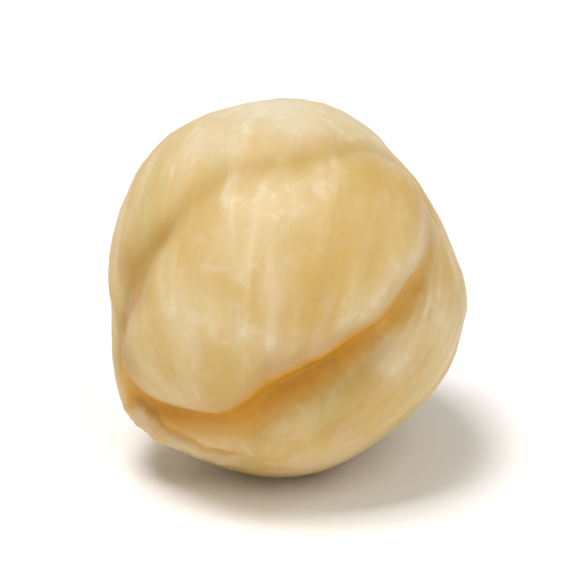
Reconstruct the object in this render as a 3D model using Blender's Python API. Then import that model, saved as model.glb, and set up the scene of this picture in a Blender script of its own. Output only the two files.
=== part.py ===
"""Blanched hazelnut kernel: one grown solid that rests on a small flat spot.

Blender 4.5, metres, +Z up. The origin is on the surface that the kernel rests on, under the
middle of its box. The kernel lies on its side with its face, the rounded back of one seed
leaf, turned to -Y and a little upwards. Places on it are read square on to that face, as a
clock angle (degrees, anticlockwise from +X) and a tilt (degrees away from the face's middle).
"""

import math

import bmesh
import bpy
import numpy as np

MM = 0.001

# Overall size of the plain egg-shaped body, before the folds and the resting spot.
WIDTH = 13.20 * MM
DEPTH = 13.40 * MM
HEIGHT = 14.00 * MM
MEAN_RADIUS = (WIDTH + DEPTH + HEIGHT) / 6

FACE_RISE = 25.0  # degrees that the face's middle looks above the level
PANEL_CUTS = 28  # cuts across each of the six panels that the round cage starts from

HEEL = (217, 88)  # clock and tilt of the corner at the lower left

# Swells and flats of the body: clock, tilt, height, spread in degrees.
SWELLS = (
    (136, 90, 0.46 * MM, 31),  # shoulder, upper left
    (*HEEL, 0.86 * MM, 20),  # heel, lower left
    (24, 88, -0.73 * MM, 20),  # flattened side, upper right
    (54, 86, -0.60 * MM, 20),  # flattened crown, right of the top
    (309, 90, -0.43 * MM, 26),  # flattened belly, lower right
    (0, 90, 0.16 * MM, 13),  # cheek of the lower seed leaf
    (170, 150, -0.35 * MM, 32),  # shallow hollow in the back
    (20, 140, 0.25 * MM, 30),  # swell in the back
)

# The fold round the face, at every 20 degrees of the clock from +X: its tilt, and its depth.
FOLD_STEP = 20
FOLD_TILT = (43, 58, 69, 60, 46, 42, 45, 48, 51, 60, 75, 70, 57, 38, 31, 30, 31, 36)
FOLD_DEPTH_MM = (
    (0.62, 0.44, 0.34, 0.22, 0.17, 0.20, 0.28, 0.34, 0.34)
    + (0.32, 0.36, 0.62, 0.95, 1.12, 1.22, 1.20, 1.08, 0.85)
)
# How softly the fold is rounded at the same places: it is crisp only where it is deep.
FOLD_SOFT_MM = (
    (0.10, 0.14, 0.18, 0.20, 0.24, 0.28, 0.32, 0.34, 0.34)
    + (0.32, 0.28, 0.24, 0.14, 0.06, 0.05, 0.05, 0.05, 0.07)
)
FOLD_CORNER = (244, 8, 1.5)  # its sharp corner at the lower left: clock, spread and height
FOLD_LIP = 0.95 * MM  # how far in from the fold the face's edge starts to turn down
FOLD_LIP_POWER = 1.6
FOLD_VALLEY = 1.45 * MM  # how far out from the fold the valley reaches
FOLD_NARROW = (227, 20, 0.40)  # the clock round which it is narrower, the spread and the share
FOLD_VALLEY_POWER = 1.7
# The fold is rounded by a weighted mean over places this many softnesses across it.
ROUNDING = ((-1.4, 0.15), (-0.7, 0.22), (0.0, 0.26), (0.7, 0.22), (1.4, 0.15))
FACE_SWELL = 0.30 * MM  # how far the face stands above the plain body
FACE_SHOULDER = 2.2 * MM  # over which distance the face rises to that
FOLD_GATHER = 1.6 * MM  # the cage's rows this near the fold are drawn towards it
FOLD_GATHER_POWER = 1.4

# The two ends of the kernel, and the line where its seed leaves meet.
NOSE = (240, 52)  # clock and tilt of the face's pointed corner
NOSE_HEIGHT = 0.20 * MM
NOSE_SPREAD = 12
AXIS_END = (262, 68)  # the root end of the kernel's axis, that the ribs run to
SCAR_DEPTH = 0.34 * MM  # the blunt end, opposite, is flattened to a round scar
SCAR_SPREAD = 20
SCAR_RIM = 0.10 * MM
SCAR_RIM_TILT = 27
SCAR_RIM_SPREAD = 6
SPLIT_SIDE = (16, 74)  # where the meeting line leaves the fold, on the right
SPLIT_DEPTH = 0.30 * MM
SPLIT_WIDTH = 0.60 * MM
SPLIT_WANDER = 0.30 * MM  # how far the line strays from a plane
SPLIT_WAVES = (5, 4)  # its waves along the kernel and across it
SPLIT_START = 1.0
SPLIT_STEP = 0.07 * MM  # one seed leaf stands this far above the other
SPLIT_FADE = (66, 86)  # tilts between which the line comes out of the fold
SPLIT_HEEL_FADE = (26, 52)  # the heel has grown over the line, this many degrees from it

# Ribs that run from end to end, as the veins of the skin left them.
RIB_COUNT = 24
RIB_HEIGHT = 0.055 * MM
RIB_WANDER = 0.55
RIB_WANDER_WAVES = (2, 3)  # waves of the wander round the kernel and along it
RIB_STRENGTH = (0.65, 0.35)  # their mean strength, and how much it comes and goes
RIB_STRENGTH_WAVES = (3, 5)
RIB_STRENGTH_START = 1.3
RIB_FADE = 2.5  # how soon the ribs die out towards the two ends
RIB_FACE_SHARE = 0.55  # how strong the ribs are on the smooth middle of the face

# Slow unevenness of a grown body: waves along a direction, per turn of the body.
LUMPS = (
    ((0.8, 0.5, -0.3), 3.1, 0.4, 0.060 * MM),
    ((-0.4, 0.9, 0.2), 4.3, 1.9, 0.050 * MM),
    ((0.3, -0.2, 0.9), 5.2, 3.3, 0.040 * MM),
    ((0.6, 0.6, 0.5), 7.0, 0.9, 0.028 * MM),
    ((-0.7, 0.1, 0.7), 8.3, 5.1, 0.022 * MM),
)

REST_CUT = 0.30 * MM  # height of the cap that the flat spot takes off
SNAP = 0.09 * MM  # corners this near the cut are moved onto it
CUT_TOLERANCE = 0.0001 * MM
LEAST_SHARE = 1e-6  # keeps the drawing together of the rows from dividing by nothing

KERNEL_COLOUR = (0.66, 0.47, 0.21, 1.0)
KERNEL_ROUGHNESS = 0.48


def face_frame():
    """Rows are the face's right, up and outward directions."""
    rise = math.radians(FACE_RISE)
    return np.array(
        (
            (1.0, 0.0, 0.0),
            (0.0, math.sin(rise), math.cos(rise)),
            (0.0, -math.cos(rise), math.sin(rise)),
        )
    )


def direction(clock, tilt):
    """Unit directions of places on the kernel, from clock angles and tilts in degrees."""
    clock, tilt = np.radians(clock), np.radians(tilt)
    seen = (np.sin(tilt) * np.cos(clock), np.sin(tilt) * np.sin(clock), np.cos(tilt))
    return np.stack(seen, axis=-1) @ face_frame()


def angle_from(directions, axis):
    """Angle in degrees between each direction and an axis."""
    return np.degrees(np.arccos(np.clip(directions @ axis, -1.0, 1.0)))


def bell(distance, spread):
    """1 at no distance, falling away smoothly over the spread."""
    return np.exp(-((distance / spread) ** 2))


def ease(value, start, end):
    """0 before start, 1 after end, with a smooth rise between."""
    t = np.clip((value - start) / (end - start), 0.0, 1.0)
    return t * t * (3.0 - 2.0 * t)


def round_the_clock(values, clock):
    """Smooth closed curve through values spaced evenly round the clock."""
    values = np.asarray(values, float)
    place = (clock / FOLD_STEP) % len(values)
    first = np.floor(place).astype(int)
    t = place - first
    before, here, after, beyond = (values[(first + k) % len(values)] for k in (-1, 0, 1, 2))
    slope_here, slope_after = (after - before) / 2, (beyond - here) / 2
    rise = after - here
    return here + t * (
        slope_here
        + t * (3 * rise - 2 * slope_here - slope_after + t * (slope_here + slope_after - 2 * rise))
    )


def fold_line(clock):
    """The fold's tilt at each clock angle."""
    corner, spread, height = FOLD_CORNER
    return round_the_clock(FOLD_TILT, clock) + height * bell(clock - corner, spread)


def fold_place(directions):
    """Clock angle, and the distance out from the fold."""
    right, up, outward = (directions @ axis for axis in face_frame())
    clock = np.degrees(np.arctan2(up, right)) % 360
    tilt = np.degrees(np.arccos(np.clip(outward, -1.0, 1.0)))
    line = fold_line(clock)
    slant = (fold_line(clock + 1) - fold_line(clock - 1)) / 2 / np.sin(np.radians(line))
    across = np.radians(tilt - line) / np.sqrt(1 + slant**2) * MEAN_RADIUS
    return clock, across


def fold_relief(directions):
    """Height of the face and of the fold round it, over the plain body."""
    clock, across = fold_place(directions)
    depth = round_the_clock(FOLD_DEPTH_MM, clock) * MM
    soft = round_the_clock(FOLD_SOFT_MM, clock) * MM
    middle, spread, narrowing = FOLD_NARROW
    reach = FOLD_VALLEY * (1 - narrowing * bell(clock - middle, spread))
    height = np.zeros(len(across))
    for shift, share in ROUNDING:
        place = across + shift * soft
        lip = -depth * np.clip(1 + place / FOLD_LIP, 0, 1) ** FOLD_LIP_POWER
        valley = -depth * np.exp(-((np.maximum(place, 0) / reach) ** FOLD_VALLEY_POWER))
        swell = FACE_SWELL * ease(-place, 0, FACE_SHOULDER)
        height += share * np.where(place < 0, lip + swell, valley)
    return height


def end_relief(directions):
    """Height of the face's pointed corner, and of the scar on the blunt end."""
    nose = NOSE_HEIGHT * bell(angle_from(directions, direction(*NOSE)), NOSE_SPREAD)
    from_scar = angle_from(directions, -direction(*AXIS_END))
    scar = -SCAR_DEPTH * bell(from_scar, SCAR_SPREAD)
    rim = SCAR_RIM * bell(from_scar - SCAR_RIM_TILT, SCAR_RIM_SPREAD)
    return nose + scar + rim


def split_relief(directions):
    """The line round the back where the two seed leaves meet."""
    end, side = direction(*AXIS_END), direction(*SPLIT_SIDE)
    normal = np.cross(end, side)
    normal /= np.linalg.norm(normal)
    across = np.arcsin(np.clip(directions @ normal, -1, 1)) * MEAN_RADIUS
    along, aside = SPLIT_WAVES
    wave = np.sin(along * directions @ end + SPLIT_START) * np.sin(aside * directions @ side)
    across += SPLIT_WANDER * wave
    tilt = angle_from(directions, direction(0, 0))
    out = ease(tilt, *SPLIT_FADE)
    out *= ease(angle_from(directions, direction(*HEEL)), *SPLIT_HEEL_FADE)
    step = SPLIT_STEP * np.tanh(across / SPLIT_WIDTH)
    return out * (step - SPLIT_DEPTH * bell(across, SPLIT_WIDTH))


def rib_relief(directions):
    """Low ribs from end to end, unevenly strong."""
    end = direction(*AXIS_END)
    side = direction(*SPLIT_SIDE)
    side = side - (side @ end) * end
    side /= np.linalg.norm(side)
    turn = np.arctan2(directions @ np.cross(end, side), directions @ side)
    along = np.radians(angle_from(directions, end))
    few, more = RIB_WANDER_WAVES
    wander = np.sin(few * turn + more * along) + np.sin(more * turn - few * along)
    mean, change = RIB_STRENGTH
    slow, quick = RIB_STRENGTH_WAVES
    strength = mean + change * np.sin(slow * turn + RIB_STRENGTH_START) * np.sin(quick * turn)
    strength *= 1 - (1 - RIB_FACE_SHARE) * ease(-fold_place(directions)[1], 0, FACE_SHOULDER)
    strength *= np.sin(along) ** RIB_FADE
    return RIB_HEIGHT * strength * np.cos(RIB_COUNT * turn + RIB_WANDER * wander)


def kernel_points(directions):
    """The surface point in each direction from the middle of the kernel."""
    halves = np.array((WIDTH, DEPTH, HEIGHT)) / 2
    height = 1 / np.linalg.norm(directions / halves, axis=1)
    for clock, tilt, swell, spread in SWELLS:
        height += swell * bell(angle_from(directions, direction(clock, tilt)), spread)
    for axis, waves, start, lump in LUMPS:
        height += lump * np.sin(waves * (directions @ np.array(axis)) + start)
    height += fold_relief(directions) + end_relief(directions)
    height += split_relief(directions) + rib_relief(directions)
    return directions * height[:, None]


def cube_cage():
    """A cube cut into small even panels, with its front side towards +Z."""
    cage = bmesh.new()
    bmesh.ops.create_cube(cage, size=2.0)
    bmesh.ops.subdivide_edges(cage, edges=cage.edges[:], cuts=PANEL_CUTS, use_grid_fill=True)
    return cage


def cage_directions(cage):
    """Where each corner of the cube goes on the kernel: the front side's rim lies in the fold.

    The cage is drawn out to a ball, its front side is fitted to the face, and the rows that
    run beside the fold are drawn towards it, so that the face's edge comes out even.
    """
    corners = np.tan(np.array([vertex.co for vertex in cage.verts]) * math.pi / 4)
    clock = np.arctan2(corners[:, 1], corners[:, 0])
    tilt = np.degrees(np.arctan2(np.hypot(corners[:, 0], corners[:, 1]), corners[:, 2]))
    rim = np.degrees(np.arctan(1 / np.maximum(abs(np.cos(clock)), abs(np.sin(clock)))))
    clock = np.degrees(clock) % 360
    line = fold_line(clock)
    within = line * tilt / rim
    beyond = 180 - (180 - line) * (180 - tilt) / (180 - rim)
    away = np.where(tilt < rim, within, beyond) - line
    reach = math.degrees(FOLD_GATHER / MEAN_RADIUS)
    away *= np.clip(np.abs(away) / reach, LEAST_SHARE, 1) ** (FOLD_GATHER_POWER - 1)
    return direction(clock, line + away)


def cut_resting_spot(cage):
    """Takes a low cap off the underside and closes the cut with one flat face at z = 0."""
    level = min(vertex.co.z for vertex in cage.verts) + REST_CUT
    for vertex in cage.verts:
        if abs(vertex.co.z - level) < SNAP:
            vertex.co.z = level
    cut = bmesh.ops.bisect_plane(
        cage,
        geom=cage.verts[:] + cage.edges[:] + cage.faces[:],
        dist=CUT_TOLERANCE,
        plane_co=(0, 0, level),
        plane_no=(0, 0, -1),
        clear_outer=True,
    )
    edges = [piece for piece in cut["geom_cut"] if isinstance(piece, bmesh.types.BMEdge)]
    bmesh.ops.contextual_create(cage, geom=edges)
    bmesh.ops.translate(cage, verts=cage.verts[:], vec=(0, 0, -level))


def centre_over_origin(cage):
    """Moves the kernel sideways until the origin is under the middle of its box."""
    for axis in (0, 1):
        places = [vertex.co[axis] for vertex in cage.verts]
        middle = (min(places) + max(places)) / 2
        for vertex in cage.verts:
            vertex.co[axis] -= middle


def kernel_material():
    """Pale oily seed flesh with its skin rubbed off."""
    material = bpy.data.materials.new("blanched_kernel")
    material.use_nodes = True
    shader = material.node_tree.nodes["Principled BSDF"]
    shader.inputs["Base Color"].default_value = KERNEL_COLOUR
    shader.inputs["Roughness"].default_value = KERNEL_ROUGHNESS
    shader.inputs["Metallic"].default_value = 0.0
    return material


def build_kernel(collection):
    """Builds the kernel as one closed body."""
    cage = cube_cage()
    for vertex, point in zip(cage.verts, kernel_points(cage_directions(cage))):
        vertex.co = point
    bmesh.ops.triangulate(cage, faces=cage.faces[:], quad_method="SHORT_EDGE")
    cut_resting_spot(cage)
    centre_over_origin(cage)
    bmesh.ops.recalc_face_normals(cage, faces=cage.faces[:])
    mesh = bpy.data.meshes.new("hazelnut_kernel")
    cage.to_mesh(mesh)
    cage.free()
    mesh.shade_smooth()
    mesh.materials.append(kernel_material())
    kernel = bpy.data.objects.new("hazelnut_kernel", mesh)
    collection.objects.link(kernel)
    return kernel


def main():
    """Clears the scene and builds the hazelnut."""
    for old in list(bpy.data.objects):
        bpy.data.objects.remove(old)
    collection = bpy.data.collections.new("hazelnut")
    bpy.context.scene.collection.children.link(collection)
    build_kernel(collection)


main()
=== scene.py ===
"""Looks of a blanched hazelnut kernel: its fine surface, its seed flesh, a pale floor and soft light.

Metres, +Z up. The kernel rests on the floor with its face, the rounded back of one seed leaf,
turned to -Y and a little upwards. Places on it are read square on to that face, as a clock angle
(degrees, anticlockwise from the right) and a tilt (degrees away from the face's middle).
"""

import logging
import math
from dataclasses import dataclass, field
from enum import Enum
from typing import Any, Sequence

import bpy
import numpy as np
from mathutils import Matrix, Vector, noise


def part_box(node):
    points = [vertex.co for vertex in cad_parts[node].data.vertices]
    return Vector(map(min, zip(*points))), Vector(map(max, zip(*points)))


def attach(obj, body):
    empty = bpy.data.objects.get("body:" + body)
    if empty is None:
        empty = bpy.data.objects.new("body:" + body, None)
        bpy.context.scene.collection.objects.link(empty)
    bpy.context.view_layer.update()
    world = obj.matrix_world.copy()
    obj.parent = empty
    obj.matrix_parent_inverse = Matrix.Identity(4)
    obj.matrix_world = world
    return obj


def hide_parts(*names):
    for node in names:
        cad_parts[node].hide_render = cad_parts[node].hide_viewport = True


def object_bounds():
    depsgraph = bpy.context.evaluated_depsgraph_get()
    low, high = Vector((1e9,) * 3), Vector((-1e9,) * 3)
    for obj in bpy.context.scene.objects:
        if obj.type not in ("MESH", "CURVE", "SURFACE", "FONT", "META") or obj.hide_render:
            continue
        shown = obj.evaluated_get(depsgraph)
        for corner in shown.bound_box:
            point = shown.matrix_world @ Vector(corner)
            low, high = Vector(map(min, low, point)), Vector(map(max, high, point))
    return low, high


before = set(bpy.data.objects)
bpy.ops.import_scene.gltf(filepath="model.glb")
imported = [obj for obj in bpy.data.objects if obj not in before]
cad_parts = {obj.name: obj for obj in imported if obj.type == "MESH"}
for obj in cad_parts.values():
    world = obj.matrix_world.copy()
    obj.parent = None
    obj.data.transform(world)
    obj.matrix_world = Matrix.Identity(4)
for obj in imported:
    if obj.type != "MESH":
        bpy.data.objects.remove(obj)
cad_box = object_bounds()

MM = 0.001
NODE = "hazelnut_kernel"
SEEN_HEIGHT = 13.95 * MM  # the kernel's height as the camera sees it

Array = np.ndarray
Colour = tuple[float, float, float, float]
Link = tuple[bpy.types.Node, str]  # a node and the name of the output that is read
log = logging.getLogger("hazelnut")


def linear(hex_code: str) -> Colour:
    """Turns an sRGB hex value to the linear colour that a shader takes.

    Args:
        hex_code: Six hex digits after a hash, as in "#E8D2A0".

    Returns:
        Linear red, green and blue, and an alpha of 1.
    """
    shown = [int(hex_code[start:start + 2], 16) / 255 for start in (1, 3, 5)]
    lit = [c / 12.92 if c <= 0.04045 else ((c + 0.055) / 1.055) ** 2.4 for c in shown]
    return (lit[0], lit[1], lit[2], 1.0)


def pick(sockets: Any, name: str) -> Any:
    """Finds a socket by its identifier, or else by its shown name.

    Args:
        sockets: A node's inputs or outputs.
        name: The identifier or the shown name.

    Returns:
        The socket.
    """
    for socket in sockets:
        if socket.identifier == name:
            return socket
    return sockets[name]


def add_node(
    tree: bpy.types.NodeTree,
    kind: str,
    settings: dict[str, Any] | None = None,
    values: dict[str, Any] | None = None,
    links: dict[str, Link] | None = None,
) -> bpy.types.Node:
    """Adds a node with its settings, its sockets' values and its links.

    Args:
        tree: The node tree that it goes into.
        kind: The node's class name.
        settings: The node's own properties.
        values: What its unlinked sockets hold.
        links: For each linked socket, the node and the output that it reads.

    Returns:
        The new node.
    """
    node = tree.nodes.new(kind)
    for name, setting in (settings or {}).items():
        setattr(node, name, setting)
    for name, value in (values or {}).items():
        pick(node.inputs, name).default_value = value
    for name, (source, output) in (links or {}).items():
        tree.links.new(pick(source.outputs, output), pick(node.inputs, name))
    return node


def bell(distance: Array, spread: float) -> Array:
    """1 at no distance, falling away smoothly over the spread."""
    return np.exp(-((distance / spread) ** 2))


def ease(value: Array, start: float, end: float) -> Array:
    """0 before start, 1 after end, with a smooth rise between."""
    t = np.clip((value - start) / (end - start), 0.0, 1.0)
    return t * t * (3.0 - 2.0 * t)


def unit(vector: Array) -> Array:
    """The vector at a length of 1."""
    return vector / np.linalg.norm(vector)


def angle_from(directions: Array, axis: Array) -> Array:
    """Angle in degrees between each direction and an axis."""
    return np.degrees(np.arccos(np.clip(directions @ axis, -1.0, 1.0)))


def unevenness(points: Array, size: float, octaves: int, seed: float) -> Array:
    """Smooth random unevenness, between about -1 and 1.

    Args:
        points: The places, in metres.
        size: How wide one swell or hollow is, in metres.
        octaves: How many finer layers it has, each half as wide and half as high.
        seed: Moves the pattern, so that two layers differ.

    Returns:
        One value for each point.
    """
    shift = np.array((seed, 1.7 * seed, -0.6 * seed))
    moved = points / size + shift
    return np.array([noise.fractal(Vector(point), 1.0, 2.0, octaves) for point in moved])


class Tone(Enum):
    """What the colour of a patch of the kernel does."""

    PALE = "pale"
    GOLDEN = "golden"
    BLEACHED = "bleached"
    # straw colour, and painted shade where the kernel turns under
    STRAW_AND_SHADE = "straw_and_shade"


@dataclass(frozen=True)
class Swell:
    """A broad swell or hollow of the body: where it is, how high, and how wide in degrees."""

    clock: float
    tilt: float
    height: float
    spread: float


@dataclass(frozen=True)
class Patch:
    """A patch of colour: where it is, how wide in degrees, its tone and how strong it is."""

    clock: float
    tilt: float
    spread: float
    tone: Tone
    strength: float


@dataclass(frozen=True)
class FaceView:
    """Turns places seen square on to the face to directions from the kernel's middle, and back."""

    rise: float = 25.0  # degrees that the face's middle looks above the level

    def rows(self) -> Array:
        """The face's right, up and outward directions."""
        high, level = math.sin(math.radians(self.rise)), math.cos(math.radians(self.rise))
        return np.array(((1.0, 0.0, 0.0), (0.0, high, level), (0.0, -level, high)))

    def direction(self, clock: Array | float, tilt: Array | float) -> Array:
        """Unit directions of places, from clock angles and tilts in degrees.

        Args:
            clock: Clock angles in degrees.
            tilt: Tilts in degrees.

        Returns:
            One direction for each place.
        """
        clock, tilt = np.radians(clock), np.radians(tilt)
        seen = (np.sin(tilt) * np.cos(clock), np.sin(tilt) * np.sin(clock), np.cos(tilt))
        return np.stack(seen, axis=-1) @ self.rows()

    def read(self, directions: Array) -> tuple[Array, Array]:
        """Clock angles and tilts of directions, in degrees.

        Args:
            directions: Unit directions from the kernel's middle.

        Returns:
            Clock angles and tilts, in degrees.
        """
        right, up, outward = (directions @ row for row in self.rows())
        clock = np.degrees(np.arctan2(up, right)) % 360
        return clock, np.degrees(np.arccos(np.clip(outward, -1.0, 1.0)))


@dataclass(frozen=True)
class Fold:
    """The fold round the face: where it runs, how deep it is and how its two sides go down."""

    radius: float  # mean radius of the kernel
    step: int = 20  # degrees of the clock from one value to the next, from +X
    tilts: Sequence[float] = (  # the tilt at which it runs
        (43, 58, 69, 60, 46, 42, 45, 46.5, 51) + (60, 76, 72, 56.5, 38, 31, 30, 30.5, 35.5)
    )
    corner: tuple[float, float, float] = (244, 8, 1.5)  # its clock, spread and height, in degrees
    depths_mm: Sequence[float] = (  # how deep it is
        (0.62, 0.44, 0.34, 0.22, 0.17, 0.19, 0.25, 0.31, 0.34)
        + (0.32, 0.36, 0.62, 0.95, 1.12, 1.22, 1.20, 1.08, 0.85)
    )
    soft_mm: Sequence[float] = (  # how softly its section is rounded
        (0.14, 0.14, 0.18, 0.20, 0.28, 0.40, 0.48, 0.48, 0.42)
        + (0.34, 0.30, 0.30, 0.26, 0.18, 0.16, 0.14, 0.14, 0.14)
    )
    smoothing: Sequence[tuple[float, float]] = (
        (-1.4, 0.15), (-0.7, 0.22), (0.0, 0.26), (0.7, 0.22), (1.4, 0.15)
    )  # shifts, in soft_mm, that the fold's section is averaged over, and their shares
    lip: float = 1.15 * MM  # how far in from the fold the face's edge starts to turn down
    lip_power: float = 1.7
    valley: float = 1.45 * MM  # how far out from the fold the valley reaches
    valley_power: float = 1.7
    narrow: tuple[float, float, float] = (227, 20, 0.40)  # where it is narrower, and by which share
    swell: float = 0.30 * MM  # how far the face stands above the plain body
    shoulder: float = 2.2 * MM  # over which distance the face rises to that
    ripple: float = 0.04  # share by which the depth comes and goes along the fold
    stain_and_shade: Sequence[float] = (  # how strong the orange-brown stain of the fold is; above 1, at the lower left, it is painted shade
        (0.54, 0.26, 0.08, 0.05, 0.0, 0.0, 0.05, 0.08, 0.10)
        + (0.15, 0.30, 1.30, 1.12, 0.97, 0.95, 0.95, 0.90, 0.68)
    )
    stain_mm: Sequence[float] = (  # how far out from the fold it reaches
        (0.80, 0.60, 0.50, 0.50, 0.50, 0.50, 0.50, 0.50, 0.50)
        + (0.50, 0.60, 0.95, 0.95, 1.20, 1.20, 0.92, 0.84, 0.75)
    )
    stain_power: float = 2.2
    stain_wall: tuple[float, float] = (-1.10 * MM, -0.20 * MM)  # where it comes in, on the face
    gild: Sequence[float] = (  # how golden the shallow parts of the fold are
        (0.20, 0.25, 0.35, 0.40, 0.30, 0.35, 0.30, 0.42, 1.0)
        + (1.0, 1.0, 0.50, 0.0, 0.0, 0.0, 0.0, 0.0, 0.10)
    )
    gild_reach: tuple[float, float] = (0.50 * MM, 0.85 * MM)  # how far in and out that shows
    edge_shade_start: float = 1.35 * MM  # how far in from the fold the painted shade on the face's edge starts
    edge_shade_full: float = 0.65 * MM
    edge_shade_end: float = 0.2 * MM
    edge_shade_more: tuple[float, float, float] = (258, 50, 0.70 * MM)  # where it starts further in

    def around(self, values: Sequence[float], clock: Array) -> Array:
        """Smooth closed curve through values spaced evenly round the clock.

        Args:
            values: The curve's value at each step of the clock.
            clock: Clock angles in degrees.

        Returns:
            The curve's value at each clock angle.
        """
        held = np.asarray(values, float)
        place = (clock / self.step) % len(held)
        first = np.floor(place).astype(int)
        t = place - first
        before, here, after, beyond = (held[(first + k) % len(held)] for k in (-1, 0, 1, 2))
        start, end, rise = (after - before) / 2, (beyond - here) / 2, after - here
        return here + t * (start + t * (3 * rise - 2 * start - end + t * (start + end - 2 * rise)))

    def line(self, clock: Array) -> Array:
        """The fold's tilt at each clock angle, with the sharp corner at the lower left."""
        clock_place, spread, height = self.corner
        return self.around(self.tilts, clock) + height * bell(clock - clock_place, spread)

    def across(self, clock: Array, tilt: Array) -> Array:
        """Distance out from the fold in metres, less than 0 on the face.

        Args:
            clock: Clock angles in degrees.
            tilt: Tilts in degrees.

        Returns:
            The distance, square to the fold.
        """
        line = self.line(clock)
        slant = (self.line(clock + 1) - self.line(clock - 1)) / 2 / np.sin(np.radians(line))
        return np.radians(tilt - line) / np.sqrt(1 + slant**2) * self.radius

    def depth(self, clock: Array) -> Array:
        """The fold's depth in metres, with a slight ripple along it.

        Args:
            clock: Clock angles in degrees.

        Returns:
            The depth at each clock angle.
        """
        turn = np.radians(clock)
        ripple = np.sin(11 * turn + 1.0) + 0.6 * np.sin(23 * turn)
        return self.around(self.depths_mm, clock) * MM * (1 + self.ripple * ripple)

    def height(self, clock: Array, tilt: Array) -> Array:
        """Height of the face and of the fold round it, over the plain body.

        Args:
            clock: Clock angles in degrees.
            tilt: Tilts in degrees.

        Returns:
            The height, in metres.
        """
        across, depth = self.across(clock, tilt), self.depth(clock)
        soft = self.around(self.soft_mm, clock) * MM
        middle, spread, less = self.narrow
        valley_reach = self.valley * (1 - less * bell(clock - middle, spread))
        height = np.zeros(len(across))
        for shift, share in self.smoothing:
            place = across + shift * soft
            lip = -depth * np.clip(1 + place / self.lip, 0, 1) ** self.lip_power
            reach = np.maximum(place, 0) / valley_reach
            valley = -depth * np.exp(-(reach**self.valley_power))
            swell = self.swell * ease(-place, 0, self.shoulder)
            height += share * np.where(place < 0, lip + swell, valley)
        return height

    def stains(self, clock: Array, tilt: Array) -> dict[str, Array]:
        """Where the fold colours the flesh.

        Args:
            clock: Clock angles in degrees.
            tilt: Tilts in degrees.

        Returns:
            The fold's stain, about 1 where it is deep and 1.3 where painted shade darkens it most, the
            painted shade on the face's edge, and the golden trough where the fold is shallow, both
            from 0 to 1.
        """
        across, strength = self.across(clock, tilt), self.around(self.stain_and_shade, clock)
        width = self.around(self.stain_mm, clock) * MM
        out = np.exp(-((np.maximum(across, 0) / width) ** self.stain_power))
        wall = ease(across, *self.stain_wall)
        # painted shade: the face's edge is darkened before the fold, standing in for the shade there
        middle, spread, more = self.edge_shade_more
        start = self.edge_shade_start + more * bell(clock - middle, spread)
        edge_shade = ease(across, -start, -self.edge_shade_full) * ease(across, self.edge_shade_end, -self.edge_shade_end)
        gilt = bell(across, np.where(across < 0, *self.gild_reach))
        return {
            "fold": np.maximum(strength, 0) * np.where(across < 0, wall, out),
            "edge": np.clip(strength, 0, 1) * edge_shade,
            "trough": np.clip(self.around(self.gild, clock), 0, 1) * gilt,
        }


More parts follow.
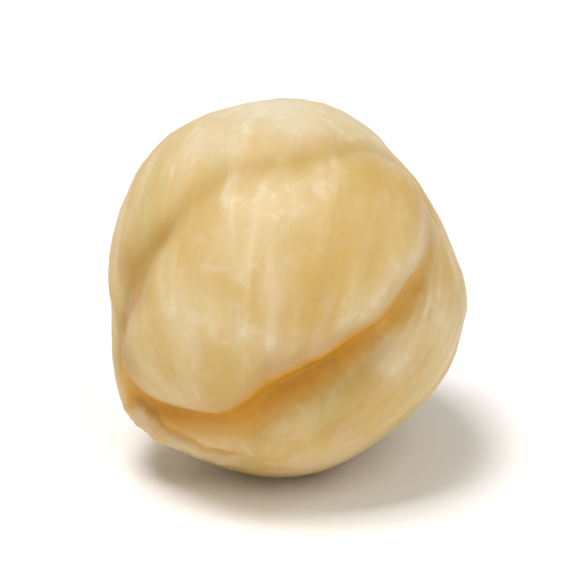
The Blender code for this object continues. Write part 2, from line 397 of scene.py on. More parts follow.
@dataclass(frozen=True)
class Body:
    """The kernel's form as the solid has it, worked out outwards from its middle."""

    width: float = 13.20 * MM
    depth: float = 13.40 * MM
    height: float = 14.00 * MM
    face: FaceView = FaceView()
    heel: tuple[float, float] = (217, 88)  # clock and tilt of the corner at the lower left
    nose: tuple[float, float] = (240, 52)  # clock and tilt of the face's pointed corner
    nose_height: float = 0.20 * MM
    nose_spread: float = 12
    axis_end: tuple[float, float] = (262, 68)  # the root end, that the ribs run to
    scar_depth: float = 0.34 * MM  # the blunt end, opposite, is flattened to a round scar
    scar_spread: float = 20
    scar_rim: float = 0.10 * MM
    scar_rim_tilt: float = 27  # degrees from the scar's middle to the top of its low rim
    scar_rim_spread: float = 6
    split_side: tuple[float, float] = (16, 74)  # where the seed leaves' line leaves the fold
    split_depth: float = 0.30 * MM
    split_width: float = 0.60 * MM
    split_wander: float = 0.30 * MM  # how far the line strays to each side
    split_step: float = 0.07 * MM  # how far one leaf stands above the other
    split_fade: tuple[float, float] = (66, 86)  # tilts between which the line comes in
    split_heel_fade: tuple[float, float] = (26, 52)  # and degrees from the heel
    rib_count: int = 24
    rib_height: float = 0.055 * MM
    rib_wander: float = 0.55  # radians by which a rib strays
    rib_fade: float = 2.5  # how soon the ribs die out towards the ends
    rib_face_share: float = 0.55  # how high they are on the face, where they are lower

    @property
    def radius(self) -> float:
        """The mean radius."""
        return (self.width + self.depth + self.height) / 6

    @property
    def fold(self) -> Fold:
        """The fold round the face."""
        return Fold(self.radius)

    def swells(self) -> list[Swell]:
        """The broad swells and flats of the body.

        Returns:
            Each with its place, height and spread.
        """
        return [
            Swell(136, 90, 0.46 * MM, 31),  # shoulder, upper left
            Swell(*self.heel, 0.86 * MM, 20),  # heel, lower left
            Swell(24, 88, -0.73 * MM, 20),  # flattened side, upper right
            Swell(54, 86, -0.60 * MM, 20),  # flattened crown, right of the top
            Swell(309, 90, -0.43 * MM, 26),  # flattened belly, lower right
            Swell(0, 90, 0.16 * MM, 13),  # cheek of the lower seed leaf
            Swell(170, 150, -0.35 * MM, 32),  # shallow hollow in the back
            Swell(20, 140, 0.25 * MM, 30),  # swell in the back
        ]

    @staticmethod
    def lumps(directions: Array) -> Array:
        """Slow unevenness of a grown body: waves along a few directions.

        Args:
            directions: Unit directions from the kernel's middle.

        Returns:
            The height, in metres.
        """
        waves = (  # direction, radians along it, start and height in mm
            ((0.8, 0.5, -0.3), 3.1, 0.4, 0.060),
            ((-0.4, 0.9, 0.2), 4.3, 1.9, 0.050),
            ((0.3, -0.2, 0.9), 5.2, 3.3, 0.040),
            ((0.6, 0.6, 0.5), 7.0, 0.9, 0.028),
            ((-0.7, 0.1, 0.7), 8.3, 5.1, 0.022),
        )
        height = np.zeros(len(directions))
        for axis, count, start, lump in waves:
            height += lump * MM * np.sin(count * (directions @ np.array(axis)) + start)
        return height

    def ends(self, directions: Array) -> Array:
        """Height of the face's pointed corner, and of the scar on the blunt end.

        Args:
            directions: Unit directions from the kernel's middle.

        Returns:
            The height, in metres.
        """
        nose = angle_from(directions, self.face.direction(*self.nose))
        from_scar = self.from_scar(directions)
        scar = -self.scar_depth * bell(from_scar, self.scar_spread)
        rim = self.scar_rim * bell(from_scar - self.scar_rim_tilt, self.scar_rim_spread)
        return self.nose_height * bell(nose, self.nose_spread) + scar + rim

    def from_scar(self, directions: Array) -> Array:
        """Angle in degrees from the middle of the scar."""
        return angle_from(directions, -self.face.direction(*self.axis_end))

    def split_across(self, directions: Array) -> tuple[Array, Array]:
        """Distance from the line where the seed leaves meet, and how far it shows, 0 to 1.

        Args:
            directions: Unit directions from the kernel's middle.

        Returns:
            The distance in metres, and how far the line shows, from 0 to 1.
        """
        end = self.face.direction(*self.axis_end)
        side = self.face.direction(*self.split_side)
        normal = unit(np.cross(end, side))
        across = np.arcsin(np.clip(directions @ normal, -1, 1)) * self.radius
        stray = np.sin(5 * directions @ end + 1.0) * np.sin(4 * directions @ side)
        tilt = angle_from(directions, self.face.direction(0, 0))
        from_heel = angle_from(directions, self.face.direction(*self.heel))
        out = ease(tilt, *self.split_fade) * ease(from_heel, *self.split_heel_fade)
        return across + self.split_wander * stray, out

    def split(self, directions: Array) -> Array:
        """The line round the back where the two seed leaves meet.

        Args:
            directions: Unit directions from the kernel's middle.

        Returns:
            Its height, in metres.
        """
        across, out = self.split_across(directions)
        step = self.split_step * np.tanh(across / self.split_width)
        return out * (step - self.split_depth * bell(across, self.split_width))

    def rib_place(self, directions: Array) -> tuple[Array, Array]:
        """Turn about the kernel's axis and angle from its root end, both in radians.

        Args:
            directions: Unit directions from the kernel's middle.

        Returns:
            The turn and the angle.
        """
        end = self.face.direction(*self.axis_end)
        side = self.face.direction(*self.split_side)
        side = unit(side - (side @ end) * end)
        turn = np.arctan2(directions @ np.cross(end, side), directions @ side)
        return turn, np.radians(angle_from(directions, end))

    def ribs(self, directions: Array) -> Array:
        """Low ribs from end to end, unevenly strong.

        Args:
            directions: Unit directions from the kernel's middle.

        Returns:
            Their height, in metres.
        """
        turn, along = self.rib_place(directions)
        wander = self.rib_wander * (np.sin(2 * turn + 3 * along) + np.sin(3 * turn - 2 * along))
        strength = 0.65 + 0.35 * np.sin(3 * turn + 1.3) * np.sin(5 * turn)
        inside = -self.fold.across(*self.face.read(directions))
        strength *= 1 - (1 - self.rib_face_share) * ease(inside, 0, self.fold.shoulder)
        strength *= np.sin(along) ** self.rib_fade
        return self.rib_height * strength * np.cos(self.rib_count * turn + wander)

    def surface(self, directions: Array) -> Array:
        """Distance of the surface from the kernel's middle in each direction.

        Args:
            directions: Unit directions from the kernel's middle.

        Returns:
            The distance, in metres.
        """
        halves = np.array((self.width, self.depth, self.height)) / 2
        height = 1 / np.linalg.norm(directions / halves, axis=1)
        for swell in self.swells():
            axis = self.face.direction(swell.clock, swell.tilt)
            height += swell.height * bell(angle_from(directions, axis), swell.spread)
        height += self.lumps(directions) + self.fold.height(*self.face.read(directions))
        return height + self.ends(directions) + self.split(directions) + self.ribs(directions)


@dataclass
class RubbedSurface:
    """What is finer than the solid: veins, dents, pits, rubs, the rough scar and a strip of skin."""

    body: Body
    vein_count: int = 54
    vein_height: float = 0.024 * MM
    vein_stretch: float = 4.5  # how much longer than wide a streak of the veins is
    vein_wander: float = 2.4  # radians by which a vein strays
    vein_wander_size: float = 2.6 * MM
    vein_patch_size: float = 3.6 * MM  # over which the veins come and go
    vein_patch_edge: float = 0.35
    streak_fade: tuple[float, float] = (0.25, 0.80)  # sines of the angles from the root end
    end_blend: float = 0.45  # how far round the ends the streaks run into each other
    dent_size: float = 3.4 * MM
    dent_height: float = 0.060 * MM
    grain_size: float = 1.3 * MM
    grain_height: float = 0.030 * MM
    pit_count: int = 34
    pit_seed: int = 7
    pit_reach: tuple[float, float] = (0.10 * MM, 0.30 * MM)
    pit_depth: tuple[float, float] = (0.020 * MM, 0.055 * MM)
    nick_count: int = 9
    nick_seed: int = 21
    nick_length: tuple[float, float] = (0.3 * MM, 0.8 * MM)
    nick_width: tuple[float, float] = (0.10 * MM, 0.20 * MM)
    nick_bend: tuple[float, float] = (6 * MM, 14 * MM)
    nick_depth: tuple[float, float] = (0.015 * MM, 0.035 * MM)
    scar_size: float = 0.55 * MM
    scar_height: float = 0.060 * MM
    crease_width: float = 0.13 * MM
    crease_depth: float = 0.10 * MM
    crease_darkening: float = 0.6  # how much darker the crease is coloured, as the fold is
    rim_in: float = 1.20 * MM  # how far in from the fold the face's rounded rim is highest
    rim_width: float = 0.75 * MM
    rim_height: float = 0.06 * MM
    rim_span: tuple[float, float] = (12, 40)  # degrees to each side of the right: whole, and gone
    film_clock: float = 232  # a strip of thin skin still clings round here, at the lower left
    film_length: float = 20  # degrees of the clock, to each side
    film_fade: float = 4  # degrees over which its ends die out, to each side
    film_tilt: float = 81
    film_slant: float = 0.14  # degrees by which its tilt is less for each degree of the clock
    film_width: float = 0.42 * MM
    film_height: float = 0.15 * MM
    film_stray: float = 0.30 * MM  # how far its ragged edges stray
    film_stray_size: float = 0.9 * MM
    film_wrinkle_size: float = 0.4 * MM
    film_wrinkles: float = 0.6  # by which share its height comes and goes
    film_edge_out: float = 1.15  # how far off its middle the crease beside it lies, in widths
    film_edge_width: float = 0.14 * MM
    film_edge_depth: float = 0.05 * MM
    # painted shadow in the crease beside the strip of skin, laid with the fold's colour
    film_edge_shadow: float = 0.5
    marks: dict[str, Array] = field(default_factory=dict)

    def rim_share(self, clock: Array) -> Array:
        """Where the face's edge is rolled over the fold at the right: 1 there, 0 elsewhere."""
        from_right = np.abs((clock + 180) % 360 - 180)
        return 1 - ease(from_right, *self.rim_span)

    def veins(self, directions: Array, points: Array) -> Array:
        """Fine raised lines beside the ribs, as the veins of the skin left them.

        Args:
            directions: Unit directions from the kernel's middle.
            points: The same places, in metres.

        Returns:
            Their height, in metres.
        """
        turn, along = self.body.rib_place(directions)
        stray = unevenness(points, self.vein_wander_size, 2, 3.0)
        ridge = (0.5 + 0.5 * np.cos(self.vein_count * turn + self.vein_wander * stray)) ** 2
        patchy, edge = unevenness(points, self.vein_patch_size, 1, 5.0), self.vein_patch_edge
        strength = ease(patchy, -edge, edge)
        return self.vein_height * ridge * strength * np.sin(along) ** 4

    def pits(self, directions: Array) -> Array:
        """Small round pits, 0.2 to 0.6 mm wide, scattered by a seeded draw.

        Args:
            directions: Unit directions from the kernel's middle.

        Returns:
            Their height, in metres.
        """
        draw = np.random.default_rng(self.pit_seed)
        height = np.zeros(len(directions))
        for _ in range(self.pit_count):
            place = unit(draw.normal(size=3))
            spread = math.degrees(draw.uniform(*self.pit_reach) / self.body.radius)
            depth = draw.uniform(*self.pit_depth)
            height -= depth * bell(angle_from(directions, place), spread)
        return height

    def nicks(self, directions: Array) -> tuple[Array, Array]:
        """Short shallow rubs from handling: their height, and where their pale marks show.

        Args:
            directions: Unit directions from the kernel's middle.

        Returns:
            Their height in metres, and where their pale marks show, from 0 to 1.
        """
        draw = np.random.default_rng(self.nick_seed)
        height, mark = np.zeros(len(directions)), np.zeros(len(directions))
        for _ in range(self.nick_count):
            place = unit(draw.normal(size=3))
            way = unit(np.cross(place, draw.normal(size=3)))
            length, width = draw.uniform(*self.nick_length), draw.uniform(*self.nick_width)
            along = directions @ way * self.body.radius
            aside = directions @ np.cross(place, way) * self.body.radius
            aside = aside + along**2 / draw.uniform(*self.nick_bend)
            here = bell(along, length) * bell(aside, width) * (directions @ place > 0)
            height -= draw.uniform(*self.nick_depth) * here
            mark += here
        return height, np.clip(mark, 0, 1)

    def scar(self, directions: Array, points: Array) -> tuple[Array, Array]:
        """The rough scar of the blunt end: its height, and where its colour shows.

        Args:
            directions: Unit directions from the kernel's middle.
            points: The same places, in metres.

        Returns:
            Its height in metres, and where its colour shows, from 0 to 1.
        """
        here = bell(self.body.from_scar(directions), self.body.scar_spread)
        rough = unevenness(points, self.scar_size, 3, 9.0)
        return self.scar_height * here * rough, here

    def film(self, clock: Array, tilt: Array, points: Array) -> tuple[Array, Array, Array]:
        """The ragged strip of skin that still clings.

        Args:
            clock: Clock angles in degrees.
            tilt: Tilts in degrees.
            points: The same places, in metres.

        Returns:
            Its height in metres, where it shows, and the crease along its edge, both from 0 to 1.
        """
        stray = self.film_stray * unevenness(points, self.film_stray_size, 3, 6.0)
        line = self.film_tilt - self.film_slant * (clock - self.film_clock)
        aside = np.radians(tilt - line) * self.body.radius + stray
        ends = (self.film_length + self.film_fade, self.film_length - self.film_fade)
        long = ease(np.abs(clock - self.film_clock), *ends)
        here = np.exp(-((aside / self.film_width) ** 4)) * long
        edge = bell(aside + self.film_edge_out * self.film_width, self.film_edge_width) * long
        wrinkles = 1 + self.film_wrinkles * unevenness(points, self.film_wrinkle_size, 2, 8.0)
        return self.film_height * here * wrinkles - self.film_edge_depth * edge, here, edge

    def height(self, directions: Array) -> Array:
        """The fine relief in each direction. It also leaves the marks for the colours.

        Args:
            directions: Unit directions from the kernel's middle.

        Returns:
            Height over the body, in metres.
        """
        body, points = self.body, directions * self.body.radius
        clock, tilt = body.face.read(directions)
        across = body.fold.across(clock, tilt)
        nick_height, nick_mark = self.nicks(directions)
        scar_height, scar_mark = self.scar(directions, points)
        film_height, film_mark, film_edge = self.film(clock, tilt, points)
        split_across, split_out = body.split_across(directions)
        crease = bell(split_across, self.crease_width) * split_out
        rim = bell(across + self.rim_in, self.rim_width) * self.rim_share(clock)
        dents = unevenness(points, self.dent_size, 1, 1.0)
        grain = unevenness(points, self.grain_size, 3, 2.0)
        turn, along = body.rib_place(directions)
        spread = body.radius * np.sin(along) / np.hypot(np.sin(along), self.end_blend)
        stains = body.fold.stains(clock, tilt)
        # painted shadow along the crease beside the skin, added to the fold's colour
        stains["fold"] += self.film_edge_shadow * film_edge
        stains["fold"] += self.crease_darkening * bell(split_across, 2 * self.crease_width) * split_out
        self.marks = stains | {
            "scar": scar_mark,
            "nick": nick_mark,
            "film": film_mark,
            "rim": rim,
            "streak": ease(np.sin(along), *self.streak_fade),
            "vein_x": np.cos(turn) * spread,
            "vein_y": np.sin(turn) * spread,
            "vein_z": along * body.radius / self.vein_stretch,
        }
        height = self.veins(directions, points) + self.pits(directions) + nick_height + scar_height
        height += self.dent_height * dents + self.grain_height * grain + film_height
        return height - self.crease_depth * crease + self.rim_height * rim


@dataclass(frozen=True)
class Pattern:
    """A random pattern in the flesh: how large its cells are, in metres, and how they lie."""

    size: float
    layers: float  # how many finer layers it has
    twist: float = 0.0
    along_veins: bool = False  # stretched along the veins, and otherwise even


@dataclass(frozen=True)
class Coat:
    """A colour laid over the flesh, and what says how strongly it shows."""

    colour: str
    follows: str = ""  # the pattern that brings it in
    start: float = 0.0  # the pattern's value from which it shows
    full: float = 1.0  # the value at which it is strongest
    top: float = 1.0  # how strong it is there
    within: str = ""  # the mark or coat that it is held within
    more: tuple[tuple[str, float], ...] = ()  # marks that add to it, and how much
    less: tuple[tuple[str, float], ...] = ()  # marks that hold it back, and how much


@dataclass(frozen=True)
class SeedFlesh:
    """Blanched hazelnut flesh, whose skin is steamed and rubbed off."""

    # What it gives the eye: cream and golden, mottled in soft patches and finely streaked along the
    # veins, whitish where it stands out and is rubbed, stained orange-brown in the folds, with painted
    # shade in the deepest fold, on the face's edge before it and underneath. Its oil gives it a satin
    # sheen, and light goes a little way in, so that its edges glow warm.
    ground: str = "#C6A35A"
    roughness: float = 0.46
    rubbed_roughness: float = 0.14  # how much rougher it is where it is rubbed pale
    ior: float = 1.46  # a starchy seed soaked with oil
    sheen: float = 0.5
    fold_sheen: float = 0.15  # the stain in the fold is dry
    fold_dry: tuple[float, float] = (0.85, 1.55)  # the ragged stain over which it gets so
    clearness: float = 0.18
    clear_depth: float = 0.8 * MM
    clear_tint: tuple[float, float, float] = (1.0, 0.52, 0.20)
    bumps: tuple[tuple[str, float, float], ...] = (  # what stands out, its strength and height
        ("pale coat", 0.6, 0.020 * MM), ("grain", 0.7, 0.015 * MM)
    )
    ragged: float = 0.5  # how much the flecks break up the edge of the fold's stain
    own_marks: tuple[str, ...] = ("fold", "edge", "scar", "nick", "film", "streak")

    @staticmethod
    def patterns() -> dict[str, Pattern]:
        """The random patterns, by name.

        Returns:
            Sizes as real kernels have them. The grain of the cells is finer still, and is drawn as
            fine as the render shows.
        """
        return {
            "patches": Pattern(3.2 * MM, 3),
            "mottle": Pattern(1.5 * MM, 2, along_veins=True),
            "streaks": Pattern(0.95 * MM, 3, 0.5, along_veins=True),
            "flecks": Pattern(0.62 * MM, 4, 0.3),
            "grain": Pattern(0.16 * MM, 3),
        }

    def coats(self) -> dict[str, Coat]:
        """The colours over the ground, in the order in which they are laid.

        Returns:
            The coats, by name.
        """
        return {
            "cream": Coat("#D0B57B", "patches", 0.38, 0.62),
            "rosy": Coat("#D3B58D", "mottle", 0.52, 0.66, 0.6),
            "greenish": Coat("#C1AD6D", "mottle", 0.48, 0.34, 0.5),
            "golden": Coat(self.ground, "streaks", 0.50, 0.30, 0.55, more=(("golden", 0.8),)),
            "pale": Coat(
                "#D9C59A", "streaks", 0.46, 0.70, 0.52, "streak", (("pale", 0.8),), (("golden", 0.65),)
            ),
            "white": Coat(
                "#E3D9C1", "flecks", 0.50, 0.72, 0.6, "pale coat", (("nick", 0.25), ("bleached", 0.6))
            ),
            # straw colour over the trough and patches, and painted shade where the kernel turns under
            # towards the floor
            "straw_and_shade": Coat("#A9822A", more=(("straw_and_shade", 0.95),)),
            "scar": Coat("#B49366", "flecks", 0.3, 0.6, within="scar"),
            # painted shade on the face's edge before the fold
            "edge_shade": Coat("#B88E52", more=(("edge", 0.9),)),
            "amber": Coat("#C7963A", "ragged fold", 0.33, 0.75, 0.95),
            "brown": Coat("#C28719", "ragged fold", 0.70, 1.20, 0.9),
            # painted shade: the darkest brown, where the fold's stain goes over 1
            "deepest_fold_shade": Coat("#9E7026", "ragged fold", 1.10, 1.85, 0.85),
            "film": Coat("#C6AE88", "flecks", 0.25, 0.55, 0.85, within="film"),
        }

    def sources(self, tree: bpy.types.NodeTree) -> dict[str, Link]:
        """Adds the marks and patterns that the coats follow.

        Args:
            tree: The material's node tree.

        Returns:
            What to link for each of them, by name.
        """
        found: dict[str, Link] = {}
        for name in (*self.own_marks, *(tone.value for tone in Tone)):
            found[name] = (add_node(tree, "ShaderNodeAttribute", {"attribute_name": name}), "Fac")
        even = (add_node(tree, "ShaderNodeTexCoord"), "Object")
        veins = (add_node(tree, "ShaderNodeAttribute", {"attribute_name": "vein_place"}), "Vector")
        for name, pattern in self.patterns().items():
            values = {"Scale": 1 / pattern.size, "Detail": pattern.layers, "Distortion": pattern.twist}
            links = {"Vector": veins if pattern.along_veins else even}
            found[name] = (add_node(tree, "ShaderNodeTexNoise", values=values, links=links), "Fac")
        ragged = add_node(
            tree, "ShaderNodeMath", {"operation": "MULTIPLY_ADD"}, {"Value_001": self.ragged},
            {"Value": found["flecks"], "Value_002": found["fold"]},
        )
        found["ragged fold"] = (ragged, "Value")
        return found

    @staticmethod
    def share(tree: bpy.types.NodeTree, coat: Coat, sources: dict[str, Link]) -> Link:
        """Works out how strongly a coat shows.

        Args:
            tree: The material's node tree.
            coat: The coat.
            sources: The marks, patterns and earlier coats' shares, by name.

        Returns:
            The coat's share, from 0 to 1.
        """
        product, clamped = {"operation": "MULTIPLY"}, {"operation": "MULTIPLY_ADD", "use_clamp": True}
        shown: dict[str, Link] = {}  # the share so far, for the socket of what is added to
        if coat.follows:
            step = add_node(
                tree, "ShaderNodeMapRange", {"interpolation_type": "SMOOTHSTEP"},
                {"From Min": coat.start, "From Max": coat.full, "To Min": 0.0, "To Max": coat.top},
                {"Value": sources[coat.follows]},
            )
            shown["Value_002"] = (step, "Result")
        if coat.within:
            links = {"Value": shown["Value_002"], "Value_001": sources[coat.within]}
            shown["Value_002"] = (add_node(tree, "ShaderNodeMath", product, links=links), "Value")
        for name, gain in coat.more:
            values, links = {"Value_001": gain, "Value_002": 0.0}, {"Value": sources[name]}
            added = add_node(tree, "ShaderNodeMath", clamped, values, shown | links)
            shown["Value_002"] = (added, "Value")
        for name, loss in coat.less:
            values, links = {"Value_001": -loss, "Value_002": 1.0}, {"Value": sources[name]}
            left = add_node(tree, "ShaderNodeMath", clamped, values, links)
            links = {"Value": shown["Value_002"], "Value_001": (left, "Value")}
            shown["Value_002"] = (add_node(tree, "ShaderNodeMath", product, links=links), "Value")
        return shown["Value_002"]

    def build(self) -> bpy.types.Material:
        """Makes the material.

        Returns:
            Seed flesh whose patterns follow the ribs, the fold and the marks of the surface.
        """
        material = bpy.data.materials.new("blanched_seed_flesh")
        material.use_nodes = True
        tree = material.node_tree
        tree.nodes.clear()
        sources = self.sources(tree)
        painted: dict[str, Link] = {}
        for name, coat in self.coats().items():
            share = sources[f"{name} coat"] = self.share(tree, coat, sources)
            mix = add_node(
                tree, "ShaderNodeMix", {"data_type": "RGBA"},
                {"A_Color": linear(self.ground), "B_Color": linear(coat.colour)},
                painted | {"Factor_Float": share},
            )
            painted["A_Color"] = (mix, "Result_Color")

        relief: dict[str, Link] = {}
        for name, strength, height in self.bumps:
            values, links = {"Strength": strength, "Distance": height}, {"Height": sources[name]}
            bump = add_node(tree, "ShaderNodeBump", values=values, links=links | relief)
            relief["Normal"] = (bump, "Normal")
        roughness = add_node(
            tree, "ShaderNodeMath", {"operation": "MULTIPLY_ADD"},
            {"Value_001": self.rubbed_roughness, "Value_002": self.roughness},
            {"Value": sources["pale coat"]},
        )
        sheen = add_node(
            tree, "ShaderNodeMapRange", {"interpolation_type": "SMOOTHSTEP"},
            {
                "From Min": self.fold_dry[0], "From Max": self.fold_dry[1],
                "To Min": self.sheen, "To Max": self.fold_sheen,
            },
            {"Value": sources["ragged fold"]},
        )
        shader = add_node(
            tree, "ShaderNodeBsdfPrincipled", {"subsurface_method": "RANDOM_WALK"},
            {
                "IOR": self.ior,
                "Subsurface Weight": self.clearness,
                "Subsurface Radius": self.clear_tint,
                "Subsurface Scale": self.clear_depth,
            },
            {
                "Base Color": painted["A_Color"],
                "Roughness": (roughness, "Value"),
                "Specular IOR Level": (sheen, "Result"),
                "Normal": relief["Normal"],
            },
        )
        add_node(tree, "ShaderNodeOutputMaterial", links={"Surface": (shader, "BSDF")})
        return material


@dataclass
class Kernel:
    """The hazelnut kernel, modelled fine over the form of its solid."""

    body: Body = field(default_factory=Body)
    flesh: SeedFlesh = SeedFlesh()
    cuts: int = 110  # cuts across each side of the cube that the kernel is drawn from
    gather: float = 1.6 * MM  # the cube's rows this near the fold are drawn towards it
    gather_power: float = 1.4
    rest_cut: float = 0.30 * MM  # height of the cap that the flat spot takes off
    rest_round: float = 0.03 * MM  # how softly the flat spot's edge is rounded
    rim_pale: float = 0.6  # how pale the face's rounded rim is rubbed

    def patches(self) -> list[Patch]:
        """Where the flesh is rubbed pale, where it is golden, and where straw colour and painted shade
        darken it.

        Returns:
            The patches of colour.
        """
        pale, golden, bleached, straw_and_shade = Tone.PALE, Tone.GOLDEN, Tone.BLEACHED, Tone.STRAW_AND_SHADE
        rows = (
            (95, 80, 20, pale, 1.0),  # the crown, along the top
            (98, 76, 14, bleached, 1.0),
            (70, 80, 16, pale, 0.8),
            (62, 74, 9, bleached, 0.5),
            (60, 60, 8, pale, 0.6),
            (86, 60, 12, bleached, 0.7),
            (124, 72, 14, pale, 0.5),  # the shoulder, upper left
            (118, 61, 9, bleached, 0.6),
            (158, 86, 8, pale, 0.4),  # the band left of the face
            (184, 76, 13, golden, 0.8),
            (170, 67, 9, straw_and_shade, 0.7),
            (202, 70, 9, straw_and_shade, 1.0),
            (155, 54, 11, golden, 0.1),  # the trough at the left
            (182, 55, 9, golden, 0.9),
            (181, 55, 6, straw_and_shade, 0.4),
            (197, 46, 7, golden, 0.5),
            (100, 27, 14, pale, 0.7),  # top of the face
            (140, 24, 12, pale, 0.5),
            (35, 24, 15, golden, 0.8),  # right of the face's middle
            (8, 40, 9, pale, 0.6),  # the face's rounded rim, right
            (335, 27, 7, pale, 0.2),
            (192, 34, 13, pale, 0.6),  # left of the face's middle
            (228, 19, 9, pale, 0.5),  # under the face's middle
            (266, 18, 8, pale, 0.4),
            (272, 9, 8, golden, 0.7),
            (230, 33, 8, golden, 0.8),  # above the face's edge, lower left
            (220, 44, 8, golden, 0.4),
            (241, 45, 6, golden, 0.7),
            (250, 36, 8, golden, 0.3),
            (12, 60, 9, golden, 0.8),  # beyond the fold, right
            (323, 46, 8, pale, 1.0),  # the lower seed leaf
            (325, 47, 5, bleached, 0.2),
            (310, 44, 9, golden, 0.7),
            (311, 43, 7, straw_and_shade, 0.3),
            (290, 52, 8, straw_and_shade, 0.35),
            (348, 62, 10, pale, 0.7),
            (278, 76, 12, pale, 0.4),
            (222, 86, 12, golden, 0.9),  # the heel
            (238, 84, 5, pale, 0.5),
            (222, 94, 8, straw_and_shade, 0.9),  # painted shade where it turns under, towards the floor
            (240, 94, 8, straw_and_shade, 0.9),
            (258, 95, 8, straw_and_shade, 0.8),
            (278, 96, 9, straw_and_shade, 0.7),
            (300, 96, 9, straw_and_shade, 0.6),
        )
        return [Patch(*row) for row in rows]

    def directions(self, cube: Array) -> Array:
        """Where each corner of the cube goes: its front side's rim lies in the fold.

        Args:
            cube: Corners of the cut cube, each from -1 to 1.

        Returns:
            Unit directions from the kernel's middle.
        """
        fold = self.body.fold
        corners = np.tan(cube * math.pi / 4)
        clock = np.arctan2(corners[:, 1], corners[:, 0])
        tilt = np.degrees(np.arctan2(np.hypot(corners[:, 0], corners[:, 1]), corners[:, 2]))
        rim = np.degrees(np.arctan(1 / np.maximum(abs(np.cos(clock)), abs(np.sin(clock)))))
        clock = np.degrees(clock) % 360
        line = fold.line(clock)
        within = line * tilt / rim
        beyond = 180 - (180 - line) * (180 - tilt) / (180 - rim)
        away = np.where(tilt < rim, within, beyond) - line
        reach = math.degrees(self.gather / self.body.radius)
        away *= np.clip(np.abs(away) / reach, 1e-6, 1) ** (self.gather_power - 1)
        return self.body.face.direction(clock, line + away)

    def settle(self, points: Array, low: Vector, high: Vector) -> Array:
        """Flattens the underside to the resting spot and sets the kernel on the floor.

        Args:
            points: The surface, round the kernel's middle.
            low: Lowest corner of the solid's box.
            high: Highest corner of the solid's box.

        Returns:
            The surface in its place.
        """
        level = points[:, 2].min() + self.rest_cut
        above = (points[:, 2] - level) / self.rest_round
        points[:, 2] = self.rest_round * np.logaddexp(0, above)
        for axis in (0, 1):
            middle = (points[:, axis].min() + points[:, axis].max()) / 2
            points[:, axis] += (low[axis] + high[axis]) / 2 - middle
        points[:, 2] += low[2] - points[:, 2].min()
        return points

    def tones(self, directions: Array, marks: dict[str, Array]) -> dict[str, Array]:
        """How pale, golden, bleached and straw-coloured each place is; the straw tone also carries
        painted shade underneath.

        Args:
            directions: Unit directions from the kernel's middle.
            marks: The surface's own marks. Its rim and trough go into the tones and are taken out.

        Returns:
            For each tone, values from 0 to 1.
        """
        tones = {tone: np.zeros(len(directions)) for tone in Tone}
        tones[Tone.PALE] += self.rim_pale * marks.pop("rim")
        tones[Tone.STRAW_AND_SHADE] += marks.pop("trough")
        for patch in self.patches():
            axis = self.body.face.direction(patch.clock, patch.tilt)
            tones[patch.tone] += patch.strength * bell(angle_from(directions, axis), patch.spread)
        return {tone.value: np.clip(value, 0, 1) for tone, value in tones.items()}

    def mark(self, mesh: bpy.types.Mesh, marks: dict[str, Array]) -> None:
        """Stores the marks that the material reads on the mesh.

        Args:
            mesh: The kernel's mesh.
            marks: The marks by name, with a value for each corner.
        """
        veins = np.stack([marks.pop(f"vein_{axis}") for axis in "xyz"], axis=1)
        stored = mesh.attributes.new("vein_place", "FLOAT_VECTOR", "POINT")
        stored.data.foreach_set("vector", veins.ravel())
        for name, values in marks.items():
            stored = mesh.attributes.new(name, "FLOAT", "POINT")
            stored.data.foreach_set("value", values.astype(np.float32))

    def cut_cube(self, low: Vector, high: Vector) -> bpy.types.Object:
        """Adds a cube over the solid's box and cuts its sides into small panels.

        Args:
            low: Lowest corner of the solid's box.
            high: Highest corner of the solid's box.

        Returns:
            The cube.
        """
        bpy.ops.object.select_all(action="DESELECT")
        bpy.ops.mesh.primitive_cube_add(size=1, location=(low + high) / 2, scale=high - low)
        bpy.ops.object.transform_apply(location=True, rotation=True, scale=True)
        cube = bpy.context.object
        bpy.ops.object.mode_set(mode="EDIT")
        bpy.ops.mesh.select_all(action="SELECT")
        bpy.ops.mesh.subdivide(number_cuts=self.cuts, smoothness=0)
        bpy.ops.object.mode_set(mode="OBJECT")
        return cube

    def build(self) -> bpy.types.Object:
        """Models the kernel and dresses it.

        Returns:
            The finished piece, which stands for the solid.
        """
        low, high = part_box(NODE)
        piece = self.cut_cube(low, high)
        piece.name = piece.data.name = "kernel_flesh"

        flat = np.empty(len(piece.data.vertices) * 3)
        piece.data.vertices.foreach_get("co", flat)
        middle, half = np.array((low + high) / 2), np.array((high - low) / 2)
        directions = self.directions((flat.reshape(-1, 3) - middle) / half)
        fine = RubbedSurface(self.body)
        reach = self.body.surface(directions) + fine.height(directions)
        points = self.settle(directions * reach[:, None], low, high)
        piece.data.vertices.foreach_set("co", points.ravel())
        piece.data.update()
        bpy.ops.object.shade_smooth()

        tones = self.tones(directions, fine.marks)
        self.mark(piece.data, fine.marks | tones)
        piece.data.materials.clear()
        piece.data.materials.append(self.flesh.build())
        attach(piece, "root")
        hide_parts(NODE)
        log.info("kernel: %d faces", len(piece.data.polygons))
        return piece


@dataclass(frozen=True)
class MattBoard:
    """Matt white laminate board, as lies under small goods in a studio."""

    # What it gives the eye: an even white with hardly any gloss, that takes a soft shadow.
    colour: str = "#FFFFFF"
    roughness: float = 0.7

    def build(self) -> bpy.types.Material:
        """Makes the material.

        Returns:
            The board's finish.
        """
        material = bpy.data.materials.new("matt_white_board")
        material.use_nodes = True
        tree = material.node_tree
        tree.nodes.clear()
        shader = add_node(
            tree, "ShaderNodeBsdfPrincipled",
            values={"Base Color": linear(self.colour), "Roughness": self.roughness},
        )
        add_node(tree, "ShaderNodeOutputMaterial", links={"Surface": (shader, "BSDF")})
        return material


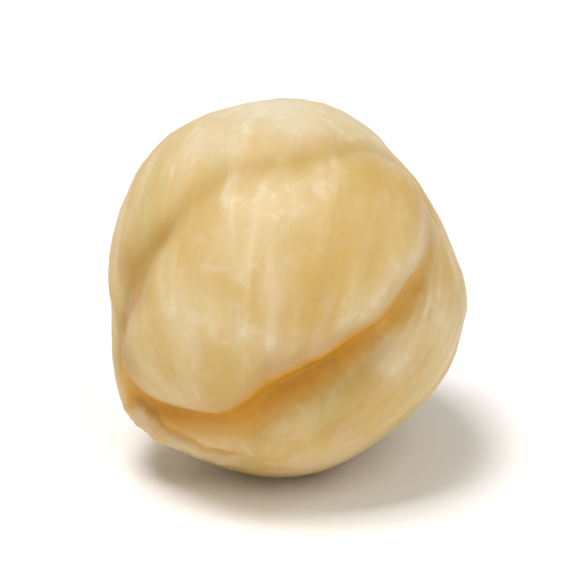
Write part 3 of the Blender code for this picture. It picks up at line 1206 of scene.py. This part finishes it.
@dataclass
class Floor:
    """The plain pale floor that the kernel rests on."""

    size: float = 2.4
    board: MattBoard = MattBoard()

    def build(self) -> bpy.types.Object:
        """Lays the floor at the height of the kernel's resting spot.

        Returns:
            The floor.
        """
        bpy.ops.object.select_all(action="DESELECT")
        bpy.ops.mesh.primitive_plane_add(size=self.size)
        floor = bpy.context.object
        floor.name = floor.data.name = "floor"
        floor.data.materials.append(self.board.build())
        log.info("floor: %.1f m wide", self.size)
        return floor


@dataclass(frozen=True)
class Softbox:
    """A square diffused lamp: where it hangs, how wide it is, its power and its colour."""

    name: str
    place: tuple[float, float, float]
    width: float
    power: float
    colour: str

    def build(self, target: Vector) -> None:
        """Hangs the lamp so that it faces the target.

        Args:
            target: Where it points.
        """
        lamp = bpy.data.lights.new(self.name, "AREA")
        lamp.shape = "SQUARE"
        lamp.size = self.width
        lamp.energy = self.power
        lamp.color = linear(self.colour)[:3]
        holder = bpy.data.objects.new(self.name, lamp)
        holder.location = self.place
        holder.rotation_euler = (target - Vector(self.place)).to_track_quat("-Z", "Y").to_euler()
        bpy.context.scene.collection.objects.link(holder)


@dataclass
class Studio:
    """A white tent, with a soft lamp above, a little to the left, and a wider one high in front."""

    tent: str = "#FFFFFF"
    wall_strength: float = 1.02
    roof_strength: float = 0.30
    wall_top: tuple[float, float] = (0.03, 0.35)  # sines of the heights between which it darkens
    lamps: Sequence[Softbox] = (
        Softbox("key_lamp", (-0.50, -0.25, 2.2), 0.9, 41.0, "#FFFDFA"),
        Softbox("front_lamp", (1.0, -1.3, 1.9), 1.4, 14.0, "#FFFDFA"),
    )

    def build(self, target: Vector) -> None:
        """Lights the scene round the target.

        Args:
            target: Where the lamps point.
        """
        world = bpy.data.worlds.new("white_tent")
        world.use_nodes = True
        tree = world.node_tree
        tree.nodes.clear()
        way = add_node(tree, "ShaderNodeTexCoord")
        rise = add_node(tree, "ShaderNodeSeparateXYZ", links={"Vector": (way, "Generated")})
        strength = add_node(
            tree, "ShaderNodeMapRange", {"interpolation_type": "SMOOTHSTEP"},
            {
                "From Min": self.wall_top[0], "From Max": self.wall_top[1],
                "To Min": self.wall_strength, "To Max": self.roof_strength,
            },
            {"Value": (rise, "Z")},
        )
        tent = add_node(
            tree, "ShaderNodeBackground",
            values={"Color": linear(self.tent)}, links={"Strength": (strength, "Result")},
        )
        add_node(tree, "ShaderNodeOutputWorld", links={"Surface": (tent, "Background")})
        bpy.context.scene.world = world
        for lamp in self.lamps:
            lamp.build(target)
        bpy.context.scene.view_settings.view_transform = "Standard"
        log.info("studio: %d lamps", len(self.lamps))


@dataclass
class PhotoCamera:
    """A long lens that looks down on the kernel as steeply as the photograph does."""

    elevation: float = 25.0
    lens: float = 480.0  # mm, on a sensor 36 mm wide
    sensor: float = 36.0
    kernel_share: float = 0.66  # of the picture's height that the kernel takes up

    def build(self, target: Vector, height: float) -> bpy.types.Object:
        """Sets the camera up.

        Args:
            target: What the middle of the picture shows.
            height: Height of the kernel as the camera sees it, in metres.

        Returns:
            The camera, which is also the scene's.
        """
        rise = math.radians(self.elevation)
        back = Vector((0, -math.cos(rise), math.sin(rise)))
        away = height / self.kernel_share * self.lens / self.sensor
        data = bpy.data.cameras.new("photo_camera")
        data.lens, data.sensor_width = self.lens, self.sensor
        data.clip_start, data.clip_end = 0.1 * away, 20 * away
        camera = bpy.data.objects.new("photo_camera", data)
        camera.location = target + back * away
        camera.rotation_euler = (-back).to_track_quat("-Z", "Y").to_euler()
        bpy.context.scene.collection.objects.link(camera)
        bpy.context.scene.camera = camera
        log.info("camera: %.0f mm away", away / MM)
        return camera


def main() -> None:
    """Builds the camera, the kernel, the floor and the light."""
    logging.basicConfig(level=logging.INFO, format="%(name)s: %(message)s")
    low, high = cad_box
    target = (low + high) / 2
    PhotoCamera().build(target, SEEN_HEIGHT)
    Kernel().build()
    Floor().build()
    Studio().build(target)


if __name__ == "__main__":
    main()
